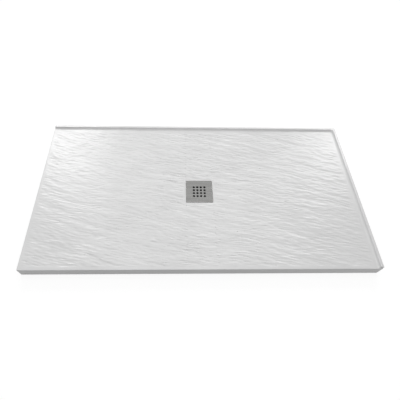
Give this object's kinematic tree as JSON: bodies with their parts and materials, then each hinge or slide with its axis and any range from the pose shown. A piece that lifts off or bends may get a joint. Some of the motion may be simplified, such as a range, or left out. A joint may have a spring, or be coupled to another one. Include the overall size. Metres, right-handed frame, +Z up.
{
  "type": "shower tray",
  "caption": "Low rectangular slate-effect shower tray with upstands on the back and one end, falls to a central square stainless drain cover and a clamped waste fitting.",
  "frame": {"origin": "centre of the tray's rectangle, on its flat underside", "axes": "+X along the length towards the end that has an upstand, +Y towards the back upstand, +Z up out of the floor"},
  "size_m": [1.4, 0.75, 0.056],
  "materials": {
    "tray_resin": "satin",
    "brushed_stainless": "satin",
    "white_plastic": "satin",
    "black_plastic": "satin",
    "black_rubber": "matte"
  },
  "bodies": {
    "tray": {"tray_body": "tray_resin", "waste_body": "black_plastic", "flange_gasket": "black_rubber", "underside_gasket": "black_rubber", "slip_washer": "white_plastic", "lock_nut": "black_plastic"},
    "cover": {"drain_cover": "brushed_stainless", "cover_pad_front_left": "black_rubber", "cover_pad_front_right": "black_rubber", "cover_pad_back_left": "black_rubber", "cover_pad_back_right": "black_rubber"},
    "basket": {"strainer_basket": "black_plastic"}
  },
  "joints": [
    {"name": "cover_lift", "type": "slide", "parent": "tray", "child": "cover", "axis": [0, 0, 1], "range_m": [0, 0.12]},
    {"name": "basket_lift", "type": "slide", "parent": "tray", "child": "basket", "axis": [0, 0, 1], "range_m": [0, 0.06]}
  ],
  "couplings": [
    {"joint": "basket_lift", "follows": "cover_lift", "ratio": 0.5}
  ]
}
